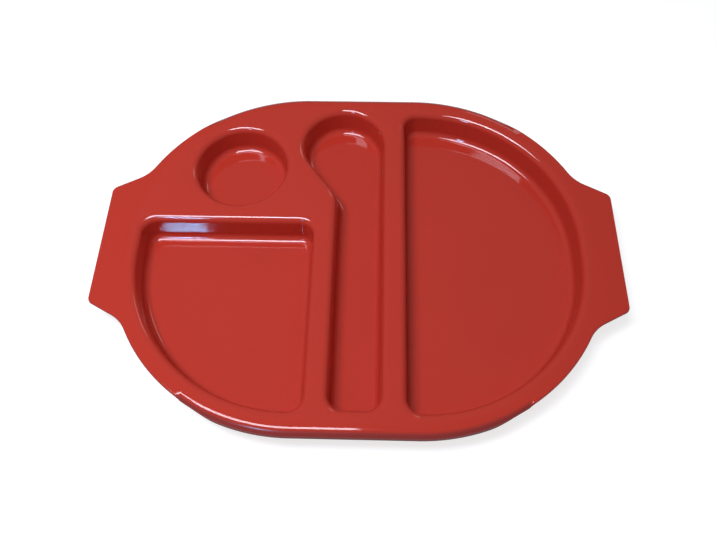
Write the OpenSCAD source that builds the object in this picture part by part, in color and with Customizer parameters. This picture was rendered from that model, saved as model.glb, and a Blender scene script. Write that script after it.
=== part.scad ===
// Divided compartment plate: one moulding with four wells, rolled front and rear edges and two handles.
// X runs along the length, Y from front to back, Z up. The well undersides rest on Z = 0.

/* [Plate] */
// length over the two handles
plate_w = 375; // [330:1:400]
// depth over the rolled front and rear edges
plate_d = 277; // [250:1:300]
// moulded wall thickness
wall_t = 2.5; // [2:0.1:3.5]
// depth of the wells below the deck
well_h = 22; // [16:0.5:28]

/* [Plan of the rim] */
// half of the short straight run at each end of the body
end_flat = 2.7; // [0:0.1:10]
// how far a handle stands out beyond the body
handle_reach = 10.7; // [6:0.1:20]
// half width of a handle at its tip, to the sharp corner
handle_half = 47.5; // [35:0.5:60]
// angle at which the handle sides spread towards the body
handle_flare = 28; // [15:1:40]
// radius between a handle side and the body
handle_fillet = 26; // [10:1:35]
// radius of the two tip corners of a handle
handle_corner = 5.5; // [3:0.5:12]

/* [Rolled edge] */
// radius on which the front and rear edges roll down
roll_r = 7; // [5:0.5:10]
// angle through which the edges roll
roll_angle = 65; // [40:1:72]
// arc of each end over which the roll stays full
roll_full = 24; // [10:1:30]
// arc over which the roll runs out into the flat handle edge
roll_fade = 17; // [8:1:20]
// how much further in the flat handle edge lies than the rolled edge
edge_step = 1.5; // [0.5:0.1:3]

/* [Well walls] */
// lean of the well walls from upright
draft = 5; // [2:0.5:12]
// radius between floor and wall
floor_r = 5; // [2:0.5:7]
// radius on the underside of the well mouth
mouth_under_r = 2.5; // [1:0.1:4]
// plan radius of a floor corner
floor_corner = 4; // [2:0.1:8]

/* [Well layout] */
// deck left between the outer edge and the main, side and cup wells
rim_w = 12.2; // [11.5:0.1:18]
// how much nearer the end than the rim's arc a well's end arc may be centred
arc_shift = 4; // [0:0.5:6]
// width of the cutlery slot at its mouth
slot_w = 44.5; // [38:0.1:50]
// deck left between the front edge and the slot
slot_gap = 13.6; // [12:0.1:24]
// radius of the wide head of the cutlery well
head_r = 35.9; // [32:0.1:38]
// deck left between the rear edge and the head
head_gap = 10.3; // [10:0.1:16]
// slope of the diagonal from the head to the slot, from the slot direction
head_slope = 36; // [25:1:45]
// radius where the diagonal turns into the slot
head_blend = 12; // [8:1:20]
// deck left between the slot and the main well
main_gap = 7.1; // [5:0.1:14]
// deck left between the slot and the side well
side_gap = 6.5; // [5:0.1:14]
// radius of the cup well
cup_r = 39.4; // [34:0.1:42]
// deck left between the cup well and the side well
cup_gap = 5.5; // [4:0.1:10]
// length between the cup well and the head, along the plate
cup_head_gap = 2.8; // [1.5:0.1:8]

/* [Hidden] */
$fn = 96;
red = "#BD3A33";
deck_z = well_h + wall_t;
mouth_r = wall_t + mouth_under_r;
bend_r = floor_r + mouth_r;
// plan width of a wall from the flat floor to the flat deck, kept to a hundredth
wall_run = round(100 * (bend_r * cos(draft) + (well_h - bend_r * (1 - sin(draft))) * tan(draft))) / 100;
corner_r = wall_run + floor_corner;
bend_steps = 7;

end_r = plate_d / 2 - end_flat;
end_x = plate_w / 2 - handle_reach - end_r;
end_c = [end_x, end_flat];
flat_r = end_r - edge_step;
roll_run = roll_r * sin(roll_angle);
nose_r = wall_t / 2;
// flat strip between the deck and the start of the roll
border_flat = 0.4;
border_w = roll_run + nose_r + edge_step + border_flat;
deck_r = end_r - border_w;
roll_end = 90 - roll_full - roll_fade;
roll_steps = 6;
plan_step = 2.5;
facet_angle = 6;
wedge_steps = 4;
edge_steps = 10;
fillet_steps = 8;
tip_steps = 6;
// straight runs shorter than this are left out
least_run = 0.01;

slot_x = slot_w / 2;
slot_y = slot_gap - plate_d / 2;
head_c = [slot_x - head_r, plate_d / 2 - head_gap - head_r];
blend_x = -slot_x - head_blend;
blend_y = head_c.y + ((head_c.x - blend_x) * cos(head_slope) - head_r - head_blend) / sin(head_slope);
cup_x = slot_x - 2 * head_r - cup_head_gap - cup_r;
// the cup well touches the inside of the rim's arc, its place kept to a hundredth
cup_c = [cup_x, round(100 * (end_flat + sqrt(pow(end_r - rim_w - cup_r, 2) - pow(cup_x + end_x, 2)))) / 100];

mouth_x = end_x + end_r - rim_w;
mouth_y = plate_d / 2 - rim_w;
function end_arc_x(corner_x) = max(end_x, min(corner_x, end_x + arc_shift));

// main well: two end arcs that run into the corners beside the slot
main_x = slot_x + main_gap;
main_corner_x = main_x + corner_r;
main_end_x = end_arc_x(main_corner_x);
main_r = mouth_x - main_end_x;
main_c = [main_end_x, mouth_y - main_r];
main_turn = acos((max(main_corner_x, main_c.x) - main_c.x) / (main_r - corner_r));
main_corner = [main_corner_x, main_c.y + (main_r - corner_r) * sin(main_turn)];

// side well: one end arc from the rear corner at the rim to the front corner beside the slot
side_x = slot_x + side_gap;
side_back = cup_c.y - cup_r - cup_gap;
side_corner = [-side_x - corner_r, side_back - corner_r];
side_end_x = end_arc_x(-side_corner.x);
side_r = mouth_x - side_end_x;
side_c = [-side_end_x, side_r - mouth_y];
side_from = 180 + asin((side_c.y - min(side_corner.y, side_c.y)) / (side_r - corner_r));
side_to = 270 - asin((side_c.x - min(side_corner.x, side_c.x)) / (side_r - corner_r));
side_rear = [side_c.x + (side_r - corner_r) * cos(side_from), side_corner.y];
side_front = [side_corner.x, side_c.y + (side_r - corner_r) * sin(side_to)];

// mouth outlines, anticlockwise, as arcs joined by straight runs: [centre, radius, from angle, to angle]
main_path = [
    [main_c, main_r, 0, main_turn],
    [main_corner, corner_r, main_turn, 180],
    [flip_y(main_corner), corner_r, 180, 360 - main_turn],
    [flip_y(main_c), main_r, 360 - main_turn, 360]
];
side_path = [
    [side_corner, corner_r, 0, 90],
    [side_rear, corner_r, 90, side_from],
    [side_c, side_r, side_from, side_to],
    [side_front, corner_r, side_to, 360]
];
cutlery_path = [
    [head_c, head_r, 0, 180 + head_slope],
    [[blend_x, blend_y], head_blend, head_slope, 0],
    [[corner_r - slot_x, slot_y + corner_r], corner_r, 180, 270],
    [[slot_x - corner_r, slot_y + corner_r], corner_r, 270, 360]
];

function ray(angle) = [cos(angle), sin(angle)];
function flip_y(p) = [p.x, -p.y];
function convex(arc) = arc[3] > arc[2];
function offset_r(arc, off) = arc[1] + (convex(arc) ? off : -off);
function on_arc(arc, angle, off) = arc[0] + offset_r(arc, off) * ray(angle);
function arc_points(centre, radius, from, to, steps) =
    [for (i = [0:steps]) centre + radius * ray(from + (to - from) * i / steps)];
function plan_steps(from, to) = max(3, ceil(abs(to - from) / facet_angle));

// half of the wall section, from the flat floor up to the deck, at a depth under the inner surface
function wall_side(depth) = concat(
    arc_points([-wall_run, wall_t + floor_r], floor_r + depth, -90, -draft, bend_steps),
    arc_points([0, deck_z - mouth_r], mouth_r - depth, 180 - draft, 90, bend_steps));
function reversed(list) = [for (i = [len(list) - 1:-1:0]) list[i]];
wall_section = concat(wall_side(0), reversed(wall_side(wall_t)));

// well floor and wall, swept along arcs and straight runs that are square to the plate
module swept_well(path) {
    linear_extrude(wall_t)
        well_plan(path, -wall_run);
    for (i = [0:len(path) - 1]) {
        arc = path[i];
        next = path[(i + 1) % len(path)];
        straight = norm(on_arc(next, next[2], 0) - on_arc(arc, arc[3], 0));
        translate(arc[0]) {
            rotate(arc[2])
                rotate_extrude(angle = arc[3] - arc[2])
                    translate([arc[1], 0])
                        polygon(wall_section);
            if (straight > least_run)
                rotate(arc[3])
                    translate([arc[1], straight, 0])
                        rotate([90, 0, 0])
                            linear_extrude(straight)
                                polygon(wall_section);
        }
    }
}

// area inside an outline of convex arcs
module well_plan(path, off) {
    polygon([for (arc = path) each [on_arc(arc, arc[2], off), on_arc(arc, arc[3], off)]]);
    for (arc = path)
        translate(arc[0])
            intersection() {
                circle(offset_r(arc, off));
                polygon([[0, 0], for (p = arc_points([0, 0], 2 * arc[1], arc[2], arc[3], wedge_steps)) p]);
            }
}

// points all round an outline, moved out by a distance
function outline(path, off) =
    [for (arc = path) each arc_points(arc[0], offset_r(arc, off), arc[2], arc[3], plan_steps(arc[2], arc[3]))];

// well floor and wall lofted ring by ring, for an outline with a diagonal
module lofted_well(path) {
    rings = [for (p = wall_section) [for (q = outline(path, p.x)) [q.x, q.y, p.y]]];
    n = len(rings[0]);
    last = len(rings) - 1;
    polyhedron(
        points = [for (ring = rings) each ring],
        faces = concat(
            [[for (i = [n - 1:-1:0]) i], [for (i = [0:n - 1]) last * n + i]],
            [for (k = [0:last - 1], i = [0:n - 1])
                [k * n + i, k * n + (i + 1) % n, (k + 1) * n + (i + 1) % n, (k + 1) * n + i]]));
}

// an outline whose arcs all begin and end square to the plate is swept, any other is lofted
function square_cut(path) = len([for (arc = path) if (arc[2] % 90 != 0 || arc[3] % 90 != 0) arc]) == 0;
module well(path) {
    if (square_cut(path))
        swept_well(path);
    else
        lofted_well(path);
}
module mouth(path) {
    if (square_cut(path))
        well_plan(path, 0);
    else
        polygon(outline(path, 0));
}

// cross-section of the rim border from the deck out to the edge, rolled down by a share of the full roll
function roll_top(q) = roll_r - sqrt(roll_r * roll_r - q * q * roll_run * roll_run);
function roll_lean(q, share) = atan(share * q * roll_run / sqrt(roll_r * roll_r - q * q * roll_run * roll_run));
function border_side(reach, share, steps, depth) = concat(
    [[0, deck_z - depth]],
    [for (i = [0:steps])
        let (q = i / steps, lean = roll_lean(q, share))
        [reach - nose_r * (1 - sin(roll_lean(1, share))) - roll_run * (1 - q), deck_z - share * roll_top(q)]
            - depth * [sin(lean), cos(lean)]]);
function border_nose(reach, share) =
    let (lean = roll_lean(1, share))
    [for (turn = [45, 90, 135])
        [reach - nose_r * (1 - sin(lean)), deck_z - share * roll_top(1)]
            - nose_r * [sin(lean), cos(lean)] + nose_r * ray(90 - lean - turn)];
function border_section(inner, outer, share, steps) =
    let (reach = norm(outer - inner), out = (outer - inner) / reach)
    [for (p = concat(border_side(reach, share, steps, 0), border_nose(reach, share),
            reversed(border_side(reach, share, steps, wall_t))))
        [inner.x + out.x * p.x, inner.y + out.y * p.x, p.y]];

// border lofted through its stations: [deck point, edge point, share of the roll]
module border(stations, steps) {
    sections = [for (s = stations) border_section(s[0], s[1], s[2], steps)];
    k = len(sections[0]);
    side = steps + 2;
    last = (len(sections) - 1) * k;
    cap = concat(
        [for (i = [0:side - 2]) [i, i + 1, k - 2 - i, k - 1 - i]],
        [[for (i = [side - 1:side + 3]) i]]);
    polyhedron(
        points = [for (s = sections) each s],
        faces = concat(
            cap,
            [for (face = cap) [for (i = reversed(face)) last + i]],
            [for (s = [0:len(sections) - 2], i = [0:k - 1])
                [s * k + (i + 1) % k, s * k + i, (s + 1) * k + i, (s + 1) * k + (i + 1) % k]]));
}

// stations of the rear lip from its left end to its right end
function fade(angle) = let (q = max(0, min(1, (angle - roll_end) / roll_fade))) q * q * (3 - 2 * q);
function rear_station(angle) =
    [end_c + deck_r * ray(angle), end_c + (flat_r + edge_step * fade(angle)) * ray(angle), fade(angle)];
rear_right = [for (i = [0:ceil((90 - roll_end) / plan_step)]) rear_station(max(roll_end, 90 - i * plan_step))];
function mirror_x(s) = [[-s[0].x, s[0].y], [-s[1].x, s[1].y], s[2]];
rear_stations = concat([for (s = reversed(rear_right)) mirror_x(s)], rear_right);

// rear half of the right handle edge, from the end of the lip to the tip
flare_n = [sin(handle_flare), cos(handle_flare)];
flare_u = [-cos(handle_flare), sin(handle_flare)];
tip = [plate_w / 2, handle_half];
fillet_w = tip + handle_fillet * flare_n - end_c;
fillet_b = fillet_w * flare_u;
fillet_c = end_c + fillet_w
    + flare_u * (-fillet_b - sqrt(fillet_b * fillet_b - fillet_w * fillet_w + pow(flat_r + handle_fillet, 2)));
fillet_a = atan2(fillet_c.y - end_c.y, fillet_c.x - end_c.x);
tip_c = [tip.x - handle_corner, tip.y - handle_corner * (1 - flare_n.x) / flare_n.y];
handle_edge = concat(
    arc_points(end_c, flat_r, roll_end, fillet_a, edge_steps),
    arc_points(fillet_c, handle_fillet, fillet_a + 180, 270 - handle_flare, fillet_steps),
    arc_points(tip_c, handle_corner, 90 - handle_flare, 0, tip_steps));
handle_rear = [for (i = [0:len(handle_edge) - 1])
    [end_c + deck_r * ray(roll_end * (1 - i / (len(handle_edge) - 1))), handle_edge[i], 0]];
function mirror_y(s) = [flip_y(s[0]), flip_y(s[1]), s[2]];
handle_stations = concat(handle_rear, [for (s = reversed(handle_rear)) mirror_y(s)]);

module deck() {
    edge = concat(
        [for (s = rear_stations) s[0]],
        [for (s = handle_rear) s[0]],
        [for (s = reversed(handle_rear)) mirror_y(s)[0]],
        [for (s = reversed(rear_stations)) mirror_y(s)[0]],
        [for (s = handle_rear) mirror_x(mirror_y(s))[0]],
        [for (s = reversed(handle_rear)) mirror_x(s)[0]]);
    color(red)
        translate([0, 0, deck_z - wall_t])
            linear_extrude(wall_t)
                difference() {
                    polygon(edge);
                    mouth(main_path);
                    mouth(side_path);
                    mouth(cutlery_path);
                    translate(cup_c)
                        circle(cup_r);
                }
}

module rear_lip() {
    color(red)
        border(rear_stations, roll_steps);
}

module front_lip() {
    color(red)
        mirror([0, 1, 0])
            border(rear_stations, roll_steps);
}

module right_handle() {
    color(red)
        border(handle_stations, 1);
}

module left_handle() {
    color(red)
        mirror([1, 0, 0])
            border(handle_stations, 1);
}

module main_well() {
    color(red)
        well(main_path);
}

module side_well() {
    color(red)
        well(side_path);
}

module cutlery_well() {
    color(red)
        well(cutlery_path);
}

module cup_well() {
    color(red)
        translate(cup_c) {
            cylinder(h = wall_t, r = cup_r - wall_run);
            rotate_extrude()
                translate([cup_r, 0])
                    polygon(wall_section);
        }
}

deck();
front_lip();
rear_lip();
left_handle();
right_handle();
main_well();
side_well();
cutlery_well();
cup_well();
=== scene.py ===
import bpy
import math
from mathutils import Matrix, Vector
from mathutils.geometry import tessellate_polygon


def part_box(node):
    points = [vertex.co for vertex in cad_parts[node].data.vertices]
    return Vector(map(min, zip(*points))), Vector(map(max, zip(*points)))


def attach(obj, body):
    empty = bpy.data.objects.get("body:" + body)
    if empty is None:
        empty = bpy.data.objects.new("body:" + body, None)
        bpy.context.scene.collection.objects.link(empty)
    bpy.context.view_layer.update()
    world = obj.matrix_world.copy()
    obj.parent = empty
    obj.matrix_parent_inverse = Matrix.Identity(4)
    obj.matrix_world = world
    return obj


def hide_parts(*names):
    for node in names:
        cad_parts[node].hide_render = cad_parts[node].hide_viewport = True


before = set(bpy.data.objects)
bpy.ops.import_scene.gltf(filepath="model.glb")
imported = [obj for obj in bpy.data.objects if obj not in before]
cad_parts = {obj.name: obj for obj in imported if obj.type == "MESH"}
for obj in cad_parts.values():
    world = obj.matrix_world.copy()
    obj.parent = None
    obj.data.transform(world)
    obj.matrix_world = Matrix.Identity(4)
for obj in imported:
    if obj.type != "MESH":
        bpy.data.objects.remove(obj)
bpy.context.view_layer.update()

# Main well: the large half-round hollow for the main helping, at the right.
# Red polycarbonate, shot in one piece with the rest of the plate in a polished mould.
# Its wall leans out a little, so that the mould lets go, and bends over into the deck.
mm = 0.001
right_angle = 90
deck_low, deck_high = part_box("deck")
deck_top = deck_high.z
wall = deck_high.z - deck_low.z
deck_under = deck_top - wall
floor_bend = 5 * mm
mouth_bend = 5 * mm
floor_corner = 4 * mm
draft = 5
steepest = math.radians(right_angle - draft)
bends = floor_bend + mouth_bend
leaning_height = deck_under - bends * (1 - math.cos(steepest))
wall_run = bends * math.sin(steepest) + leaning_height / math.tan(steepest)
corner = wall_run + floor_corner
bend_steps = 14
least_arc_steps = 6
arc_step_angle = 18
shared_point_gap = 0.01 * mm
place_digits = 4


def ray(degrees):
    # direction in plan, as an angle from the plate's length
    return Vector((math.cos(math.radians(degrees)), math.sin(math.radians(degrees))))


def arc(centre, radius, start, end):
    # points of a plan curve with the direction that leads out of the well; clockwise arcs are hollow
    # the step angle holds for a radius of 1 mm, and wider arcs take finer steps
    steps = max(least_arc_steps, round(abs(end - start) * math.sqrt(radius / mm) / arc_step_angle))
    outward = 1 if end > start else -1
    turns = [start + (end - start) * i / steps for i in range(steps + 1)]
    return [(Vector(centre) + radius * ray(turn), outward * ray(turn)) for turn in turns]


def outline(*arcs):
    # one closed curve from arcs, without the points that two neighbours share
    points = [point for curve in arcs for point in curve]
    gaps = [(point[0] - points[i - 1][0]).length for i, point in enumerate(points)]
    return [point for point, gap in zip(points, gaps) if gap > shared_point_gap]


def ring(curve, offset, height, out, up):
    # one level of a well wall: the plan curve moved out by the offset, with the surface direction there
    corners = []
    for point, outward in curve:
        place = point + offset * outward
        corners.append(((place.x, place.y, height), (out * outward.x, out * outward.y, up)))
    return corners


def band(rows):
    # quads between neighbouring rings
    count = len(rows[0])
    return [
        [rows[k][i], rows[k + 1][i], rows[k + 1][(i + 1) % count], rows[k][(i + 1) % count]]
        for k in range(len(rows) - 1)
        for i in range(count)
    ]


def well_faces(curve):
    # food side from the floor up to the deck, and the underside at one wall thickness below it
    tilts = [steepest * i / bend_steps for i in range(bend_steps + 1)]
    inside = []
    under = []
    for tilt in tilts:
        out, up = math.sin(tilt), math.cos(tilt)
        centre = wall + floor_bend
        below = floor_bend + wall
        inside.append(ring(curve, floor_bend * out - wall_run, centre - floor_bend * up, -out, up))
        under.append(ring(curve, below * out - wall_run, centre - below * up, out, -up))
    for tilt in reversed(tilts):
        out, up = math.sin(tilt), math.cos(tilt)
        centre = deck_top - mouth_bend
        below = mouth_bend - wall
        inside.append(ring(curve, -mouth_bend * out, centre + mouth_bend * up, -out, up))
        under.append(ring(curve, -below * out, centre + below * up, out, -up))
    joint = [ring(curve, 0, deck_top, 1, 0), ring(curve, 0, deck_under, 1, 0)]
    return band(inside) + band(joint) + band(under[::-1]) + [inside[0], under[0][::-1]]


def rounded(place):
    # corners that round to the same millimetres are one point of the mesh
    return tuple(round(value / mm, place_digits) for value in place)


def moulding(name, faces):
    # mesh object whose corners carry the true surface direction, so that the pieces meet without a seam
    places = {}
    for face in faces:
        for place, _ in face:
            places.setdefault(rounded(place), place)
    index = {key: number for number, key in enumerate(places)}
    polygons = [[index[rounded(place)] for place, _ in face] for face in faces]
    mesh = bpy.data.meshes.new(name)
    mesh.from_pydata(list(places.values()), [], polygons)
    mesh.polygons.foreach_set("use_smooth", [True] * len(mesh.polygons))
    mesh.normals_split_custom_set([normal for face in faces for _, normal in face])
    piece = bpy.data.objects.new(name, mesh)
    bpy.context.scene.collection.objects.link(piece)
    return piece


def linear(hex_colour):
    # sRGB hex to the linear red, green, blue and alpha that a shader takes
    channels = [int(hex_colour[i:i + 2], 16) / 255 for i in (1, 3, 5)]
    return [c / 12.92 if c <= 0.04045 else ((c + 0.055) / 1.055) ** 2.4 for c in channels] + [1]


def add_node(tree, kind, inputs=(), links=(), **settings):
    # one shader node with its settings, fixed inputs and links
    node = tree.nodes.new(kind)
    for name, value in settings.items():
        setattr(node, name, value)
    for socket, value in dict(inputs).items():
        node.inputs[socket].default_value = value
    for socket, source in dict(links).items():
        tree.links.new(source, node.inputs[socket])
    return node


# Glossy polycarbonate out of a polished mould: a clear, even red with sharp bright lines on its bends.
# The eye sees a faint waviness of the skin and a gloss that drifts a little with use.
plate_red = "#C5392B"
plate_red_deep = "#C03729"
polycarbonate_ior = 1.58
least_roughness, most_roughness = 0.04, 0.07
colour_patch, colour_detail = 60 * mm, 2
gloss_patch, gloss_detail = 28 * mm, 4
skin_wave, skin_detail = 3 * mm, 1
skin_wave_depth = 0.002 * mm
polycarbonate = bpy.data.materials.new("glossy_moulded_polycarbonate")
polycarbonate.use_nodes = True
tree = polycarbonate.node_tree
shader = tree.nodes["Principled BSDF"]
shader.inputs["IOR"].default_value = polycarbonate_ior
place = add_node(tree, "ShaderNodeTexCoord").outputs["Object"]
colour_noise = add_node(
    tree, "ShaderNodeTexNoise", {"Scale": 1 / colour_patch, "Detail": colour_detail}, {"Vector": place},
)
colour = add_node(
    tree, "ShaderNodeMix", {"A": linear(plate_red), "B": linear(plate_red_deep)},
    {"Factor": colour_noise.outputs["Fac"]}, data_type="RGBA",
)
gloss_noise = add_node(
    tree, "ShaderNodeTexNoise", {"Scale": 1 / gloss_patch, "Detail": gloss_detail}, {"Vector": place},
)
gloss = add_node(
    tree, "ShaderNodeMapRange", {"To Min": least_roughness, "To Max": most_roughness},
    {"Value": gloss_noise.outputs["Fac"]},
)
skin_noise = add_node(
    tree, "ShaderNodeTexNoise", {"Scale": 1 / skin_wave, "Detail": skin_detail}, {"Vector": place},
)
skin = add_node(
    tree, "ShaderNodeBump", {"Distance": skin_wave_depth}, {"Height": skin_noise.outputs["Fac"]},
)
tree.links.new(colour.outputs["Result"], shader.inputs["Base Color"])
tree.links.new(gloss.outputs["Result"], shader.inputs["Roughness"])
tree.links.new(skin.outputs["Normal"], shader.inputs["Normal"])


def finish_piece(piece, node, material):
    # every region of the moulding takes its material, rides on the same body, and hides the solid it
    # replaces
    piece.data.materials.append(material)
    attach(piece, "root")
    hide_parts(node)


main_low, main_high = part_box("main_well")
main_corner_x = main_low.x + corner
main_radius = main_high.x - main_corner_x
main_arc_y = main_high.y - main_radius
main_corner_y = main_high.y - corner
main_curve = outline(
    arc((main_corner_x, main_arc_y), main_radius, 0, 90),
    arc((main_corner_x, main_corner_y), corner, 90, 180),
    arc((main_corner_x, -main_corner_y), corner, 180, 270),
    arc((main_corner_x, -main_arc_y), main_radius, 270, 360),
)
main_well = moulding("main_well_bowl", well_faces(main_curve))
finish_piece(main_well, "main_well", polycarbonate)

# Side well: the smaller hollow for a side dish, at the front left.
# The same red polycarbonate, moulded in one with the deck, with the same walls as the main well.
side_low, side_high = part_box("side_well")
side_corner_x = side_high.x - corner
side_corner_y = side_high.y - corner
side_radius = side_corner_x - side_low.x
side_curve = outline(
    arc((side_corner_x, side_corner_y), corner, 0, 90),
    arc((side_low.x + corner, side_corner_y), corner, 90, 180),
    arc((side_corner_x, side_low.y + side_radius), side_radius, 180, 270),
    arc((side_corner_x, side_low.y + corner), corner, 270, 360),
)
side_well = moulding("side_well_bowl", well_faces(side_curve))
finish_piece(side_well, "side_well", polycarbonate)

# Cutlery well: the long slot in the middle for knife, fork and spoon, with a wide round head.
# The same red polycarbonate. One side runs straight through, the other steps out on a diagonal.
slope = 36
blend_radius = 12 * mm
cutlery_low, cutlery_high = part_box("cutlery_well")
slot_half = cutlery_high.x
head_radius = (cutlery_high.x - cutlery_low.x) / 2
head = Vector((slot_half - head_radius, cutlery_high.y - head_radius))
blend_x = -slot_half - blend_radius
blend_rise = (head.x - blend_x) * math.cos(math.radians(slope)) - head_radius - blend_radius
blend = Vector((blend_x, head.y + blend_rise / math.sin(math.radians(slope))))
slot_corner = Vector((slot_half - corner, cutlery_low.y + corner))
cutlery_curve = outline(
    arc(head, head_radius, 0, 180 + slope),
    arc(blend, blend_radius, slope, 0),
    arc((-slot_corner.x, slot_corner.y), corner, 180, 270),
    arc(slot_corner, corner, 270, 360),
)
cutlery_well = moulding("cutlery_well_bowl", well_faces(cutlery_curve))
finish_piece(cutlery_well, "cutlery_well", polycarbonate)

# Cup well: the round hollow at the back left, which keeps a cup or glass from sliding.
# The same red polycarbonate, with the same walls and a flat floor.
cup_low, cup_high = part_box("cup_well")
cup_radius = (cup_high.x - cup_low.x) / 2
cup_centre = ((cup_low.x + cup_high.x) / 2, (cup_low.y + cup_high.y) / 2)
cup_curve = outline(arc(cup_centre, cup_radius, 0, 360))
cup_well = moulding("cup_well_bowl", well_faces(cup_curve))
finish_piece(cup_well, "cup_well", polycarbonate)

# Rim: front and rear lips, whose edges roll down for stiffness, and a flat handle tab at each end.
# The same red polycarbonate, with painted shade on its bent edge. The rear roll runs out slowly into the
# handles, the front one quickly.
# All four are cut from one ring of cross-sections, so that they meet without a step.
end_flat = 2.7 * mm
roll_radius = 7 * mm
roll_angle = 65
lip_widening = 1.5 * mm
flat_margin = 0.4 * mm
handle_half = 47.5 * mm
handle_flare = 28
handle_fillet = 26 * mm
handle_corner = 5.5 * mm
# Degrees round the end at which a lip begins, and over which its edge bends down and widens.
lip_start = 49
front_bend, front_widening = (56, 57.8), (60, 70)
rear_bend = rear_widening = (lip_start, 66)
lip_step = 0.5
roll_steps = 16
nose_steps = 8
nose = wall / 2
full_bend = math.radians(roll_angle)
roll_run = roll_radius * math.sin(full_bend)
deck_radius = deck_high.y - end_flat
end_centre = Vector((deck_high.x - deck_radius, end_flat))
flat_radius = deck_radius + roll_run + nose + flat_margin
flat_width = flat_margin + lip_widening + nose * math.sin(full_bend)


def eased(value, start, end):
    # 0 up to the start and 1 from the end on, with a soft change between them
    share = max(0, min(1, (value - start) / (end - start)))
    return share * share * (3 - 2 * share)


def edge_section(inner, outer, bend):
    # from the deck over the rolled top, round the edge and back along the underside
    reach = (outer - inner).length
    out = (outer - inner) / reach

    def at(distance, height):
        return Vector((inner.x + out.x * distance, inner.y + out.y * distance, height))

    def lean(run):
        # the top bends at one radius and then runs on straight
        return min(bend, math.asin(min(1, run / roll_radius)))

    def drop(run):
        turned = roll_radius * math.sin(lean(run))
        return roll_radius * (1 - math.cos(lean(run))) + (run - turned) * math.tan(lean(run))

    full_run = reach - flat_width - nose * (1 - math.sin(bend))
    end_lean = lean(full_run)
    runs = [full_run * i / roll_steps for i in range(roll_steps + 1)]
    top = [(flat_width + run, deck_top - drop(run)) for run in runs]
    middle = (top[-1][0] - nose * math.sin(end_lean), top[-1][1] - nose * math.cos(end_lean))
    turns = [end_lean + math.pi * i / nose_steps for i in range(1, nose_steps)]
    edge = [(middle[0] + nose * math.sin(turn), middle[1] + nose * math.cos(turn)) for turn in turns]
    bottom = []
    for (distance, height), run in zip(top, runs):
        bottom.append((distance - wall * math.sin(lean(run)), height - wall * math.cos(lean(run))))
    section = [(0, deck_top)] + top + edge + bottom[::-1] + [(0, deck_under)]
    return [at(distance, height) for distance, height in section]


_, right_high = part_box("right_handle")
tip = Vector((right_high.x, handle_half))
flare_across = Vector((math.sin(math.radians(handle_flare)), math.cos(math.radians(handle_flare))))
flare_along = Vector((-flare_across.y, flare_across.x))
to_fillet = tip + handle_fillet * flare_across - end_centre
along = to_fillet.dot(flare_along)
half_chord = math.sqrt(along**2 - to_fillet.length_squared + (flat_radius + handle_fillet) ** 2)
fillet_centre = end_centre + to_fillet - flare_along * (along + half_chord)
fillet_angle = math.degrees(math.atan2(fillet_centre.y - end_centre.y, fillet_centre.x - end_centre.x))
tip_inset = handle_corner * (1 - flare_across.x) / flare_across.y
tip_centre = Vector((tip.x - handle_corner, tip.y - tip_inset))
handle_edge = outline(
    arc(tip_centre, handle_corner, 0, right_angle - handle_flare),
    arc(fillet_centre, handle_fillet, 270 - handle_flare, fillet_angle + 180),
    arc(end_centre, flat_radius, fillet_angle, lip_start),
)
cut = len(handle_edge) - 1
lip_turn = right_angle - lip_start
lip_count = round(lip_turn / lip_step)


def quarter_edge(bend_span, widening_span):
    # where the cross-sections stand from a handle's middle to a lip's middle, and how far each bends down
    row = []
    for i, (edge, _) in enumerate(handle_edge):
        row.append((end_centre + deck_radius * ray(lip_start * i / cut), edge, 0))
    for i in range(1, lip_count + 1):
        angle = lip_start + lip_turn * i / lip_count
        reach = flat_radius + lip_widening * eased(angle, *widening_span)
        bend = full_bend * eased(angle, *bend_span)
        row.append((end_centre + deck_radius * ray(angle), end_centre + reach * ray(angle), bend))
    return row


def mirrored(row, x, y):
    flip = Vector((x, y))
    return [(inner * flip, outer * flip, bend) for inner, outer, bend in row]


rear = quarter_edge(rear_bend, rear_widening)
front = quarter_edge(front_bend, front_widening)
quarter = len(rear)
rear_half = rear + mirrored(rear[::-1], -1, 1)
front_half = mirrored(front, -1, -1) + mirrored(front[::-1], 1, -1)
stations = rear_half + front_half
sections = [edge_section(*station) for station in stations]
section_points = len(sections[0])


def rim_corner(s, k):
    # place and surface direction from the neighbouring sections and points
    before, here, after = (sections[(s + step) % len(sections)] for step in (-1, 0, 1))
    if k == 0:
        return tuple(here[k]), (0, 0, 1)
    if k == section_points - 1:
        return tuple(here[k]), (0, 0, -1)
    across = here[k + 1] - here[k - 1]
    normal = across.cross(after[k] - before[k]).normalized()
    return tuple(here[k]), tuple(normal)


def rim_faces(first, last):
    # the skin from one section to another, the joint with the deck, and a flat face at each end
    faces = []
    for s in range(first, last):
        for k in range(section_points - 1):
            quad = [(s, k), (s, k + 1), (s + 1, k + 1), (s + 1, k)]
            faces.append([rim_corner(*where) for where in quad])
        inner, _, _ = stations[s % len(stations)]
        following, _, _ = stations[(s + 1) % len(stations)]
        run = following - inner
        facing = Vector((-run.y, run.x, 0)).normalized()
        joint = [(s, section_points - 1), (s, 0), (s + 1, 0), (s + 1, section_points - 1)]
        faces.append([(tuple(sections[t % len(sections)][k]), tuple(facing)) for t, k in joint])
    for s, order in ((first, -1), (last, 1)):
        section = sections[s % len(sections)]
        across = section[1] - section[0]
        facing = Vector((-across.y, across.x, 0)).normalized() * order
        faces.append([(tuple(point), tuple(facing)) for point in section][::order])
    return faces
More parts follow.
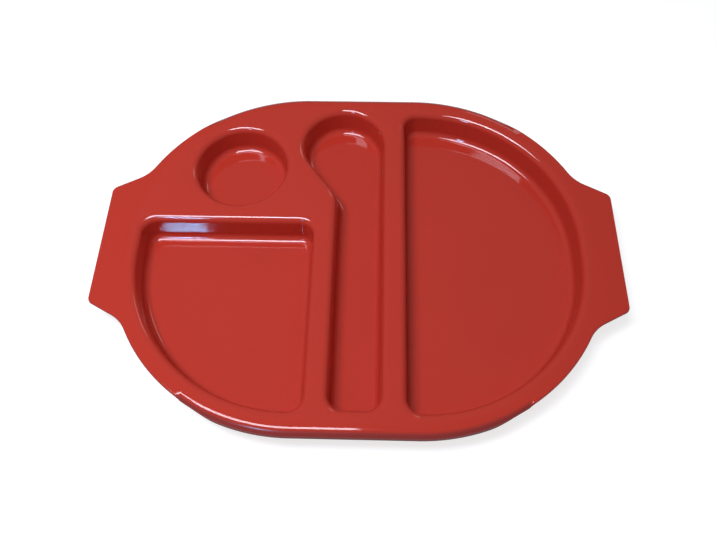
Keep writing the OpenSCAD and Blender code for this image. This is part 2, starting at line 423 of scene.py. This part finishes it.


# The same polycarbonate with an edge that rails and racks have worn duller, and with painted shade on it.
# Its red is darkened by painted shade over the bend, and darker again along the lowest part of the edge.
# painted shade: the darker reds that the bent edge turns to below the deck top
painted_shade_red = "#9A3631"
deep_painted_shade_red = "#5A1C1A"
shade_and_dulling_start, shade_and_dulling_full = 0.15 * mm, 1 * mm
deep_shade_start, deep_shade_full = 2.8 * mm, 4.5 * mm
rubbed_specular = 0.35
rubbed_roughness = 0.2
shaded_edge_polycarbonate = polycarbonate.copy()
shaded_edge_polycarbonate.name = "dull_edge_painted_shade_polycarbonate"
tree = shaded_edge_polycarbonate.node_tree
shader = tree.nodes["Principled BSDF"]
shader.inputs["Specular IOR Level"].default_value = rubbed_specular
clean_colour = shader.inputs["Base Color"].links[0].from_socket
clean_gloss = shader.inputs["Roughness"].links[0].from_socket
place = add_node(tree, "ShaderNodeTexCoord").outputs["Object"]
level = add_node(tree, "ShaderNodeSeparateXYZ", links={0: place}).outputs["Z"]
# mask of the painted shade over the bend, which also dulls the gloss there
shade_and_dulling = add_node(
    tree, "ShaderNodeMapRange", {"From Min": deck_top - shade_and_dulling_start, "From Max": deck_top - shade_and_dulling_full},
    {"Value": level},
).outputs["Result"]
# mask of the deeper painted shade along the lowest part of the edge
deep_shade = add_node(
    tree, "ShaderNodeMapRange", {"From Min": deck_top - deep_shade_start, "From Max": deck_top - deep_shade_full},
    {"Value": level},
).outputs["Result"]
painted_shade_colour = add_node(
    tree, "ShaderNodeMix", {"B": linear(painted_shade_red)}, {"Factor": shade_and_dulling, "A": clean_colour},
    data_type="RGBA",
).outputs["Result"]
deep_painted_shade_colour = add_node(
    tree, "ShaderNodeMix", {"B": linear(deep_painted_shade_red)}, {"Factor": deep_shade, "A": painted_shade_colour},
    data_type="RGBA",
).outputs["Result"]
rubbed_gloss = add_node(
    tree, "ShaderNodeMath", {1: rubbed_roughness}, {0: shade_and_dulling, 2: clean_gloss}, operation="MULTIPLY_ADD",
).outputs["Value"]
tree.links.new(deep_painted_shade_colour, shader.inputs["Base Color"])
tree.links.new(rubbed_gloss, shader.inputs["Roughness"])
cuts = [cut, 2 * quarter - 1 - cut, 2 * quarter + cut, 4 * quarter - 1 - cut]
rim_pieces = {
    "rear_lip": (cuts[0], cuts[1]),
    "left_handle": (cuts[1], cuts[2]),
    "front_lip": (cuts[2], cuts[3]),
    "right_handle": (cuts[3], cuts[0] + len(stations)),
}
# the rim pieces take the polycarbonate whose bent edge carries painted shade
for node, (first, last) in rim_pieces.items():
    finish_piece(moulding(node + "_edge", rim_faces(first, last)), node, shaded_edge_polycarbonate)

# Deck: the flat sheet that carries the wells and runs out into the rim.
# The same red polycarbonate. In the real plate it flows into the well walls with no joint.
deck_edge = [inner for inner, _, _ in stations]
well_curves = (main_curve, side_curve, cutlery_curve, cup_curve)
loops = [deck_edge] + [[point for point, _ in curve] for curve in well_curves]
flat_points = [point for loop in loops for point in loop]
triangles = tessellate_polygon([[Vector((p.x, p.y, 0)) for p in loop] for loop in loops])
deck_faces = []
for triangle in triangles:
    a, b, c = (flat_points[i] for i in triangle)
    order = 1 if (b - a).cross(c - a) > 0 else -1
    deck_faces.append([((p.x, p.y, deck_top), (0, 0, 1)) for p in (a, b, c)][::order])
    deck_faces.append([((p.x, p.y, deck_under), (0, 0, -1)) for p in (a, b, c)][::-order])
for loop in loops:
    side = 1 if loop is deck_edge else -1
    for i, point in enumerate(loop):
        before = loop[i - 1]
        run = point - before
        facing = tuple(Vector((run.y, -run.x, 0)).normalized() * side)
        strip = [(before, deck_under), (point, deck_under), (point, deck_top), (before, deck_top)]
        deck_faces.append([((p.x, p.y, height), facing) for p, height in strip][::side])
finish_piece(moulding("deck_sheet", deck_faces), "deck", polycarbonate)

# Floor: a plain white table top, far wider than the plate, which carries its shadow.
# Matt white board. The camera and mirror rays see it a little brighter, as a white studio sweep.
floor_half = 4
floor_white = "#B4B4B4"
board_roughness = 0.9
sweep_white = "#FFFFFF"
sweep_glow = 0.74
floor_corners = [(x * floor_half, y * floor_half, 0) for x, y in ((-1, -1), (1, -1), (1, 1), (-1, 1))]
floor_mesh = bpy.data.meshes.new("floor")
floor_mesh.from_pydata(floor_corners, [], [[0, 1, 2, 3]])
floor = bpy.data.objects.new("floor", floor_mesh)
bpy.context.scene.collection.objects.link(floor)
board = bpy.data.materials.new("matt_white_board")
board.use_nodes = True
tree = board.node_tree
shader = tree.nodes["Principled BSDF"]
shader.inputs["Base Color"].default_value = linear(floor_white)
shader.inputs["Roughness"].default_value = board_roughness
shader.inputs["Emission Color"].default_value = linear(sweep_white)
path = add_node(tree, "ShaderNodeLightPath").outputs
seen = path["Is Camera Ray"]
for mirror_path in ("Is Glossy Ray", "Is Transmission Ray"):
    either = add_node(tree, "ShaderNodeMath", links={0: seen, 1: path[mirror_path]}, operation="MAXIMUM")
    seen = either.outputs["Value"]
glow = add_node(tree, "ShaderNodeMath", {1: sweep_glow}, {0: seen}, operation="MULTIPLY")
tree.links.new(glow.outputs["Value"], shader.inputs["Emission Strength"])
floor_mesh.materials.append(board)

# Light: a soft box hangs overhead at the left, and a pale room gives even light all round.
# A weak window at the right back and a cool one at the front left show as glints on the bends.
# The front window is seen only in reflections, so that it doesn't flatten the shaded walls.
room_white = "#FFFFFF"
room_light = 0.18
world = bpy.data.worlds.new("pale_room")
world.use_nodes = True
background = world.node_tree.nodes["Background"]
background.inputs["Color"].default_value = linear(room_white)
background.inputs["Strength"].default_value = room_light
bpy.context.scene.world = world


def soft_light(name, size, power, tint, place):
    lamp = bpy.data.lights.new(name, "AREA")
    lamp.shape = "RECTANGLE"
    lamp.size, lamp.size_y = size
    lamp.energy = power
    lamp.color = linear(tint)[:3]
    light = bpy.data.objects.new(name, lamp)
    light.matrix_world = place
    bpy.context.scene.collection.objects.link(light)
    return light


def window_place(azimuth, height, distance):
    # azimuth is measured from straight in front of the plate, positive to the right
    turn = Matrix.Rotation(math.radians(azimuth), 4, "Z")
    lean = Matrix.Rotation(math.radians(right_angle - height), 4, "X")
    return turn @ lean @ Matrix.Translation((0, 0, distance))


# Sizes and places are in metres, and powers in watts.
box_size = (0.49, 0.28)
box_power = 7.7
box_tint = "#EEF2FF"
box_place = Matrix.Translation((-0.26, -0.10, 0.9))
soft_light("overhead_soft_box", box_size, box_power, box_tint, box_place)
back_size = (0.18, 0.20)
back_power = 0.2
back_tint = "#FFFFFF"
back_place = window_place(azimuth=157, height=34, distance=0.9)
soft_light("right_back_window", back_size, back_power, back_tint, back_place)
front_size = (0.18, 0.16)
front_power = 12.5
front_tint = "#78C6FF"
front_place = window_place(azimuth=-25.5, height=47, distance=3)
front_window = soft_light("front_left_window", front_size, front_power, front_tint, front_place)
front_window.visible_diffuse = False

# Camera: stands in front of the plate and looks down on it, a little from the right.
# Its angles, distance and lens give the photograph's view in an image 716 pixels wide.
view_height = 60.42
view_turn = 2.61
view_roll = -1.35
view_distance = 523 * mm
image_width = 716
focal_pixels = 725
centre_right, centre_up = -0.3, -24
film_width = 36
camera_data = bpy.data.cameras.new("camera")
camera_data.sensor_width = film_width
camera_data.lens = film_width * focal_pixels / image_width
camera_data.shift_x = centre_right / image_width
camera_data.shift_y = centre_up / image_width
camera = bpy.data.objects.new("camera", camera_data)
camera.matrix_world = (
    Matrix.Translation((0, 0, deck_top))
    @ Matrix.Rotation(math.radians(view_turn), 4, "Z")
    @ Matrix.Rotation(math.radians(right_angle - view_height), 4, "X")
    @ Matrix.Rotation(math.radians(view_roll), 4, "Z")
    @ Matrix.Translation((0, 0, view_distance))
)
bpy.context.scene.collection.objects.link(camera)
bpy.context.scene.camera = camera
bpy.context.scene.view_settings.view_transform = "Standard"
